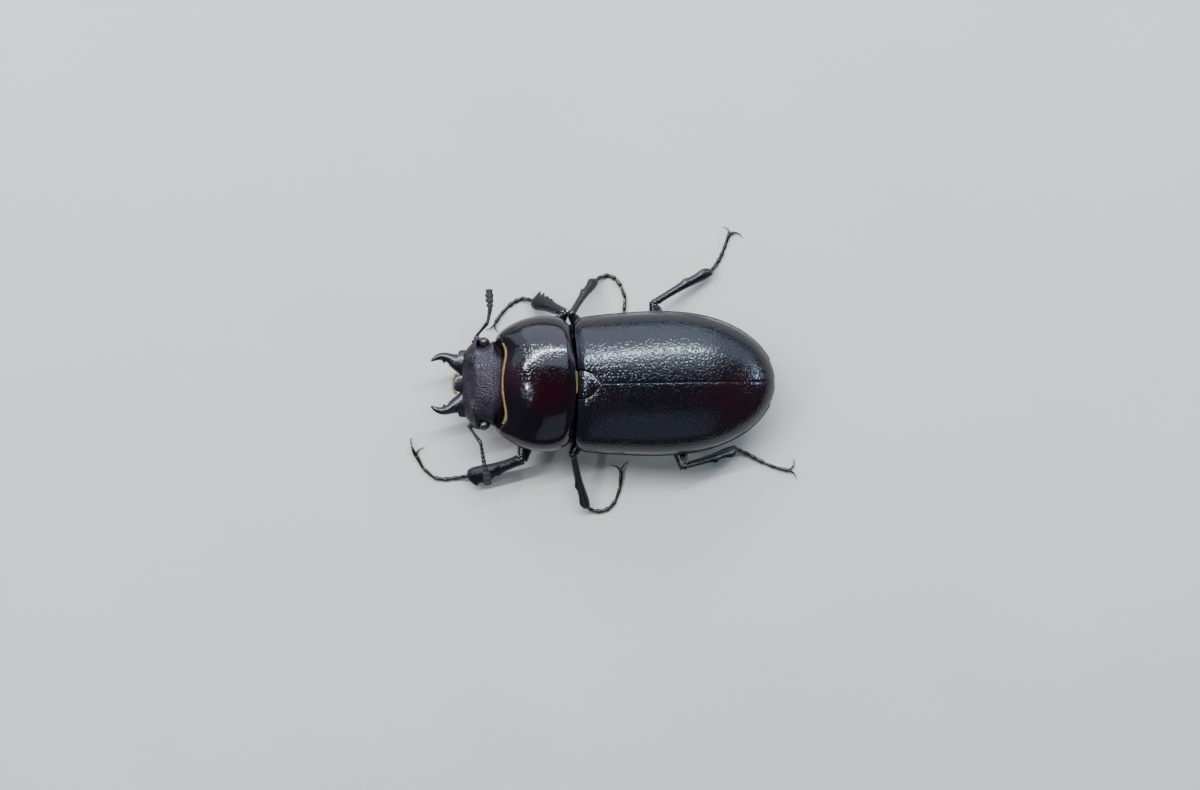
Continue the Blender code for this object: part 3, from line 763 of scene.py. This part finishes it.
def wing_case(side, sign):
    """A domed shell that meets its fellow in a closed seam, with a fine bead there and a turned-out rim."""
    node = f"wing_case_{side}"
    seam_gap, front_gap = 0.075 * MM, 0.07 * MM
    bead_width, bead_height, rim_height = 0.2 * MM, 0.035 * MM, 0.08 * MM
    outward = Vector((math.cos(REAR_TURN), math.sin(REAR_TURN), 0)) * sign
    seam, front, behind = rear(0, 0, 0), at(0, 0.9, 0).y, rear(0, 2.3, 0).y

    def from_seam(place):
        return (place - seam).dot(outward)

    def on_rim(centre, normal):
        return normal.dot(outward) > 0.45 and -0.75 < normal.z < -0.02 and from_seam(centre) > 1.5 * MM

    def on_bead(centre, normal):
        return from_seam(centre) < bead_width and centre.y > behind and normal.z > 0.35

    piece = shell_of(node)
    edit(piece)
    pick(piece, lambda centre, normal: normal.dot(outward) < -0.85)
    bpy.ops.transform.translate(value=outward * -seam_gap)
    pick(piece, lambda centre, normal: normal.y < -0.8 and centre.y < front)
    bpy.ops.transform.translate(value=(0, -front_gap, 0))
    bpy.ops.mesh.select_all(action="SELECT")
    bpy.ops.mesh.bisect(plane_co=seam + outward * bead_width, plane_no=outward)
    pick(piece, on_bead)
    bpy.ops.transform.shrink_fatten(value=bead_height)
    pick(piece, on_rim)
    bpy.ops.mesh.extrude_region_shrink_fatten(TRANSFORM_OT_shrink_fatten={"value": rim_height})
    done()
    crease(piece, 50, 0.6)
    subdivide(piece, 3)
    settle(piece, "wing_case", "wing_case", node)


def hind_thorax():
    """The hind thorax, drawn back to meet the abdomen."""
    gap = 0.3 * MM
    piece = shell_of("hind_thorax")
    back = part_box("hind_thorax")[1].y
    edit(piece)
    pick(piece, lambda centre, normal: normal.y > 0.8 and centre.y > back - 0.3 * MM)
    bpy.ops.transform.translate(value=(0, gap, 0))
    done()
    crease(piece, 60, 0.5)
    subdivide(piece, 2)
    settle(piece, "underside", "underside", "hind_thorax")


def scutellum():
    """The small plate between the roots of the wing cases, widened to meet them."""
    piece = shell_of("scutellum")
    low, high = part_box("scutellum")
    front = ((low.x + high.x) / 2, low.y, low.z)
    edit(piece)
    bpy.ops.transform.resize(value=(1.14, 1.08, 1.0), center_override=front)
    bpy.ops.transform.translate(value=(0, -0.03 * MM, -0.04 * MM))
    done()
    crease(piece, 50, 0.6)
    subdivide(piece, 3)
    settle(piece, "wing_case", "wing_case", "scutellum")


def skins():
    """The pleated skin that closes the waist and the neck: a near-black sheet that is partly the real joint
    membrane and partly painted shade in those gaps.
    """
    for name, (folds, height, flat) in SKINS.items():
        skin = turned(name, folds, 32, flat)
        skin.data.transform(Matrix.Translation(at(0, 0, height)))
        subdivide(skin, 1)
        settle(skin, "shade_membrane", "underside")


def neck_shield():
    """The prothorax: a domed shield with a fine bead along its hind edge and full sides."""
    gap, bead_height, side_height = 0.1 * MM, 0.04 * MM, 0.05 * MM
    piece = shell_of("prothorax")
    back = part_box("prothorax")[1].y
    hind, bead_front, sides_end, bead_foot = back - 1.3 * MM, back - 0.95 * MM, back - 0.9 * MM, 5 * MM

    def on_bead(centre, normal):
        return centre.y > bead_front and -0.2 < normal.y < 0.8 and centre.z > bead_foot

    def on_side(centre, normal):
        return abs(normal.x) > 0.6 and -0.45 < normal.z < 0.35 and centre.y < sides_end

    edit(piece)
    pick(piece, lambda centre, normal: normal.y > 0.8 and centre.y > hind)
    bpy.ops.transform.translate(value=(0, gap, 0))
    pick(piece, on_bead)
    bpy.ops.transform.shrink_fatten(value=bead_height)
    pick(piece, on_side)
    bpy.ops.transform.shrink_fatten(value=side_height)
    done()
    crease(piece, 48, 0.5)
    subdivide(piece, 3)
    return settle(piece, "shield", "shield", "prothorax")


# Head and mouth


def cheek(piece, sign, first, last, inner, out):
    """Draws the head out on one side between first and last, beyond inner from its middle line."""
    front, hind, middle = at(0, first, 0).y, at(0, last, 0).y, at(0, 0, 0).x
    low, high = 3.4 * MM, 6.2 * MM
    pick_points(
        piece, lambda p: front < p.y < hind and (p.x - middle) * sign > inner * MM and low < p.z < high
    )
    bpy.ops.transform.translate(value=(sign * out * MM, 0, 0))


def brow_bump(piece, sign):
    """Raises a low round bump on one side of the brow."""
    spot, wide, long = at(sign * 2.5, -10.1, 5.6), 0.45 * MM, 0.35 * MM

    def on_bump(centre, normal):
        away = centre - spot
        return normal.z > 0.4 and away.z > 0 and abs(away.x) < wide and abs(away.y) < long

    pick(piece, on_bump)
    bpy.ops.mesh.inset(thickness=0.12 * MM, depth=0.2 * MM)


def head_capsule():
    """The head: cheeks that close round the eyes, a neck into the shield, and two low bumps on the brow."""
    piece = shell_of("head")
    edit(piece)
    for sign in SIDES.values():
        for shape in CHEEKS:
            cheek(piece, sign, *shape)
    hind = at(0, -6.75, 0).y
    middle = pick(piece, lambda centre, normal: normal.y > 0.6 and centre.y > hind)
    grow(Vector((0, 0.5 * MM, 0)), 0.9, middle)
    for sign in SIDES.values():
        brow_bump(piece, sign)
    done()
    crease(piece, 60, 0.4)
    subdivide(piece, 3)
    roughen(piece, 0.2 * MM, 0.035 * MM)
    settle(piece, "head", "shield", "head")


def canthus(side, sign):
    """The keel that runs from the cheek back across the outer side of the eye."""
    keel = turned(f"canthus_{side}", CANTHUS, 12, 0.6)
    root, end = at(sign * 4.1, -9.95, 4.85), at(sign * 4.5, -8.75, 4.95)
    keel.data.transform(aimed(root, end - root))
    subdivide(keel, 2)
    settle(keel, "head", "shield")


def mandible(side, sign):
    """A short sickle on a broad base that runs back under the brow."""
    node = f"mandible_{side}"
    piece = shell_of(node)
    edit(piece)
    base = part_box(node)[1].y
    middle = pick(piece, lambda centre, normal: normal.y > 0.6 and centre.y > base - 0.3 * MM)
    inward = Vector((-sign * 0.16 * MM, 0.3 * MM, 0))
    grow(inward, 1.3, middle, 1.0)
    grow(Vector((0, 0.7 * MM, 0)), 0.95, middle + inward)
    done()
    crease(piece, 70, 0.4)
    subdivide(piece, 2)
    settle(piece, "limb", "limb", node)


def labrum():
    """The upper lip, with a root under the brow."""
    lip = shell_of("labrum")
    edit(lip)
    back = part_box("labrum")[1].y
    middle = pick(lip, lambda centre, normal: normal.y > 0.6 and centre.y > back - 0.1 * MM)
    grow(Vector((0, 0.6 * MM, 0)), 1.15, middle)
    done()
    subdivide(lip, 3)
    settle(lip, "limb", "limb", "labrum")


def palp(side):
    """A slim palp on a root that runs up into the mouth."""
    node = f"palp_{side}"
    piece = shell_of(node)
    low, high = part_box(node)
    first, second = Vector((0, 0.7, 0.35)) * MM, Vector((0, 0.7, 0.5)) * MM
    edit(piece)
    bpy.ops.transform.resize(value=(1, 0.82, 1), center_override=(low.x, high.y, low.z))
    bpy.ops.transform.shrink_fatten(value=-0.03 * MM)
    root = pick(piece, lambda centre, normal: centre.y > high.y - 0.25 * MM and normal.y > 0.5)
    grow(first, 1.1, root)
    grow(second, 1.0, root + first)
    done()
    subdivide(piece, 2)
    settle(piece, "feeler", "feeler", node)


# Feelers


def lengthened(share, wide=1.0):
    """The matrix that makes a form share times as long along Y and wide times as thick."""
    return Matrix.Diagonal((wide, share, wide, 1))


def scape(side, sign, socket, elbow):
    """The long first joint, on a root inside the head."""
    name = f"antenna_{side}_scape_shell"
    inside = socket + Vector((-sign * 1.3, 0.25, 0.1)) * MM
    piece, root = turned(name, SCAPE), turned("hinge", SCAPE_ROOT)
    root.data.transform(aimed(inside, socket - inside))
    run = elbow - socket
    piece.data.transform(aimed(socket, run) @ lengthened(run.length / (SCAPE_LENGTH * MM)))
    piece = joined(name, [piece, root])
    subdivide(piece, 2)
    settle(piece, "feeler", "feeler", f"antenna_{side}_scape")


def antenna(side, sign, bead, leaf):
    """A long first joint, six beads that widen outwards, and a club of four leaves."""
    socket, elbow, neck, tip = [at(*place) for place in ANTENNAE[side]]
    scape(side, sign, socket, elbow)
    run = neck - elbow
    share = run.length / (BEADS * BEAD_LENGTH * MM)
    beads = [
        stamp(bead, aimed(elbow + run * (i / BEADS), run) @ lengthened(share, 0.85 + 0.07 * i))
        for i in range(BEADS)
    ]
    settle(joined(f"antenna_{side}_beads_shell", beads), "feeler", "feeler", f"antenna_{side}_beads")
    reach = tip - neck
    out = Vector((0, -sign, 0))
    leaves = [
        stamp(leaf, aimed(neck + reach * (0.02 + i * 0.25), reach, reach.cross(out), size))
        for i, size in enumerate(LEAF_SIZES)
    ]
    settle(joined(f"antenna_{side}_club_shell", leaves), "club", "feeler", f"antenna_{side}_club")


def antennae():
    """Both feelers, from one bead and one leaf with a lobe to its outer side."""
    bead = turned("bead", BEAD)
    subdivide(bead, 2)
    leaf = turned("leaf", LEAF, flat=0.8)
    edit(leaf)
    pick(leaf, lambda centre, normal: normal.x > 0.75 and centre.y > 0.05 * MM)
    bpy.ops.transform.translate(value=(0.12 * MM, 0.03 * MM, 0))
    done()
    subdivide(leaf, 2)
    for side, sign in SIDES.items():
        antenna(side, sign, bead, leaf)
    drop(bead, leaf)


# Legs


def long_joint(node, knee, reach, widening, fuller):
    """A thigh or a shin: the solid, widened within reach of the knee, made fuller and smoothed."""
    piece = shell_of(node)
    edit(piece)
    knee_end = pick_points(piece, lambda place: (place - knee).length < reach)
    bpy.ops.transform.resize(value=(widening, widening, widening), center_override=knee_end)
    done()
    crease(piece, 60, 0.5)
    swell(piece, fuller)
    subdivide(piece, 2)
    settle(piece, "limb", "limb", node)


def joints(name, coxa, knee, ankle, ball, spur):
    """The round joints at hip, knee and ankle, and the two spurs at the end of the shin."""
    fore = name.startswith("fore")
    thigh, shin = (knee - coxa).normalized(), (ankle - knee).normalized()
    hip = coxa + thigh * (1.45 if name.startswith("hind") else 1.2) * MM
    parts = [
        stamp(ball, aimed(hip, thigh) @ Matrix.Diagonal((0.42, 0.75, 0.36, 1))),
        stamp(ball, aimed(knee, thigh, size=0.45 if name.startswith("mid") else 0.4)),
        stamp(ball, aimed(ankle, shin, size=0.26)),
    ]
    side = shin.cross(UP).normalized()
    for sign in (1, -1):
        base = ankle - shin * 0.18 * MM + side * sign * 0.2 * MM
        ahead = shin + side * sign * 0.45 - UP * 0.1
        parts.append(stamp(spur, aimed(base, ahead, size=0.6 if fore else 0.5)))
    settle(joined(f"joints_{name}", parts), "limb", "limb")


def stretched(pattern, start, end, slim):
    """A copy of a pattern one millimetre long, laid from start to end."""
    run = end - start
    return stamp(pattern, aimed(start, run) @ lengthened(run.length / MM, slim))


def foot(name, ankle, toe, last_toe, claw):
    """Four short joints and a long slim one along the foot line, then a pair of hooks."""
    line = [ankle] + [at(x, y, z) for (x, y), z in zip(LEGS[name]["foot"], FOOT_HEIGHTS)]
    parts, reached = [], 0.0
    for share in TOE_SHARES:
        parts.append(stretched(toe, along(line, reached), along(line, reached + share), 1.0))
        reached += share
    start, halfway, end = along(line, reached), along(line, 1 - LAST_TOE_SHARE / 2), line[-1]
    parts += [stretched(toe, start, halfway, 0.82), stretched(last_toe, halfway, end, 0.82)]
    up = UP * 0.5 + (end - along(line, 0.95)).normalized() * 2
    for x, y in LEGS[name]["claws"]:
        run = at(x, y, 0.09) - end
        parts.append(stamp(claw, aimed(end, run, up, run.length / MM)))
    settle(joined(f"tarsus_{name}_shell", parts), "limb", "limb", f"tarsus_{name}", f"claws_{name}")


def leg(name, ball, toe, last_toe, claw, spur):
    """Hip, thigh, shin with its spines, the joints between them, and the foot."""
    coxa, knee, ankle = [at(*LEGS[name][place]) for place in ("coxa", "knee", "ankle")]
    fuller = 0.07 * MM
    smooth_shell(f"coxa_{name}", "limb", "limb", hold=0.0, puff=0.03 * MM)
    long_joint(f"femur_{name}", knee, reach=0.75 * MM, widening=1.4, fuller=fuller)
    if name.startswith("fore"):
        fuller = 0.04 * MM
    long_joint(f"tibia_{name}", knee, reach=0.6 * MM, widening=1.3, fuller=fuller)
    joints(name, coxa, knee, ankle, ball, spur)
    foot(name, ankle, toe, last_toe, claw)


def legs():
    """The six legs, from one pattern for each form that repeats."""
    patterns = [turned("ball", BALL, 12), turned("toe", TOE), turned("last_toe", LAST_TOE)]
    patterns.append(horn("claw", radius=0.17, length=1.25, curl=105, steps=8, tip=0.14))
    patterns.append(horn("spur", radius=0.12, length=1.0, curl=25, steps=4, tip=0.15))
    for pattern in patterns:
        subdivide(pattern, 1)
    for name in LEGS:
        leg(name, *patterns)
    drop(*patterns)


# Fringes


def fringe_roots(shell, xs, y_of, lean, sink):
    """Roots along a line over a shell, sink metres below it, found by looking down on it."""
    roots = []
    for x in xs:
        hit, place, _, _ = shell.ray_cast(at(x, y_of(x), 20), -UP)
        if hit:
            roots.append((place - UP * sink, lean(x)))
    return roots


def shield_front(x):
    """The shield's front edge: hollowed in the middle, with corners that point forward."""
    s = min(abs(x) / 4.4, 1.0)
    return -7.1 + 1.0 * s**2 - 1.8 * s**6


def shield_back(x):
    """The shield's hind edge: a shallow arc."""
    return -0.05 - 0.52 * (x / 5.6) ** 2


def lip_roots(rng):
    """Roots round the front and sides of the upper lip."""
    low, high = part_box("labrum")
    middle, spread = (low + high) / 2, (high - low) / 2 * 0.95
    roots = []
    for _ in range(260):
        turn = math.radians(rng.uniform(-200, 20))
        out = Vector((math.cos(turn), math.sin(turn), 0))
        root = middle + Vector((out.x * spread.x, out.y * spread.y, rng.uniform(-0.1, 0.1) * MM))
        roots.append((root, out + Vector((0, -0.4, -0.15))))
    return roots


def neck_fringe(shield, rng):
    """Golden bristles that lean forward from the shield's front edge."""
    xs = [rng.uniform(-3.85, 3.85) for _ in range(2400)]

    def y_of(x):
        return shield_front(x) + rng.uniform(0.1, 0.2)

    def lean(x):
        return Vector((0.03 * x, -1, -0.3))

    roots = fringe_roots(shield, xs, y_of, lean, sink=0.03 * MM)
    size = {"length": 0.26 * MM, "width": 0.016 * MM}
    bristles("neck_fringe", roots, **size, seed=3, droop=0.3, kind="hair", spread=0.18)


def waist_fringe(shield, rng):
    """Golden bristles that lean back from the middle of the shield's hind edge."""
    xs = [rng.uniform(-1.15, 0.9) for _ in range(500)]

    def y_of(x):
        return shield_back(x) - rng.uniform(0.02, 0.08)

    def lean(_):
        return Vector((0, 1, -0.1))

    roots = fringe_roots(shield, xs, y_of, lean, sink=0.15 * MM)
    size = {"length": 0.36 * MM, "width": 0.016 * MM}
    bristles("waist_fringe", roots, **size, seed=4, droop=0.2, kind="hair", spread=0.15)


def lip_fringe(rng):
    """Orange bristles round the upper lip."""
    size = {"length": 0.32 * MM, "width": 0.014 * MM}
    bristles("lip_fringe", lip_roots(rng), **size, seed=6, droop=0.4, kind="lip_hair", spread=0.2)


def fringes(shield):
    """The three fringes, which share one run of random numbers."""
    rng = random.Random(5)
    neck_fringe(shield, rng)
    waist_fringe(shield, rng)
    lip_fringe(rng)


# Floor, light and camera


def pale_floor():
    """A wide plain floor with a very soft cloud in its tone."""
    bpy.ops.object.select_all(action="DESELECT")
    bpy.ops.mesh.primitive_plane_add(size=3.0, location=(0, 0, 0))
    floor = bpy.context.active_object
    floor.name = "floor"
    made, shader, place = finish("pale_floor", Roughness=0.85)
    feed(shader, "Base Color", blend(noise(place, 20 * MM, 2.0), (0.49, 0.46, 0.42), (0.53, 0.50, 0.46)))
    floor.data.materials.append(made)


def lamp(name, place, wide, long, watts, colour):
    """A soft lamp that faces the middle of the body, its length along it; the strip lies aslant."""
    data = bpy.data.lights.new(name, "AREA")
    data.shape, data.size, data.size_y = "RECTANGLE", wide * MM, long * MM
    data.energy, data.color = watts, colour
    piece = bpy.data.objects.new(name, data)
    bpy.context.scene.collection.objects.link(piece)
    from_body = Vector(place) * MM - Vector((0, 0, 5 * MM))
    run = Vector((STRIP_SLANT if name == "strip" else 0, 1, 0))
    piece.matrix_world = aimed(Vector(place) * MM, run, from_body)


def studio_sky():
    """A dim blue surround, a little brighter towards the window's side and dark overhead."""
    world = bpy.data.worlds.new("studio")
    world.use_nodes = True
    tree = world.node_tree
    background = tree.nodes["Background"]
    sky = Wire(tree, tree.nodes.new("ShaderNodeTexCoord").outputs["Generated"])
    low = 1 - across(sky, "Z").rise(0.45, 0.95)
    bright_side = (across(sky, "X") * -1).rise(-0.1, 0.5)
    feed(background, "Strength", low * (bright_side * 0.5 + 0.1) + 0.015)
    background.inputs["Color"].default_value = (0.66, 0.8, 1.0, 1.0)
    bpy.context.scene.world = world


def camera_above():
    """The camera looks straight down, with the head to its left."""
    data = bpy.data.cameras.new("camera")
    data.sensor_width, data.lens = 36.0, 60.3
    data.clip_start, data.clip_end = 0.01, 10.0
    camera = bpy.data.objects.new("camera", data)
    bpy.context.scene.collection.objects.link(camera)
    camera.location = (2.55 * MM, -0.42 * MM, 200 * MM)
    camera.rotation_euler = (0, 0, math.pi / 2)
    bpy.context.scene.camera = camera


def stage():
    """The floor, the lamps, the sky and the camera."""
    pale_floor()
    for name, values in LAMPS.items():
        lamp(name, *values)
    studio_sky()
    camera_above()


def beetle():
    """Every piece of the animal."""
    for side, sign in SIDES.items():
        wing_case(side, sign)
        mandible(side, sign)
        canthus(side, sign)
        smooth_shell(f"eye_{side}", "eye", "eye", hold=0.0, puff=0.1 * MM, levels=3)
    hind_thorax()
    smooth_shell("abdomen", "underside", "underside", angle=25)
    scutellum()
    skins()
    shield = neck_shield()
    head_capsule()
    labrum()
    smooth_shell("mentum", "underside", "underside")
    for side in SIDES:
        palp(side)
    antennae()
    legs()
    fringes(shield)


stage()
beetle()
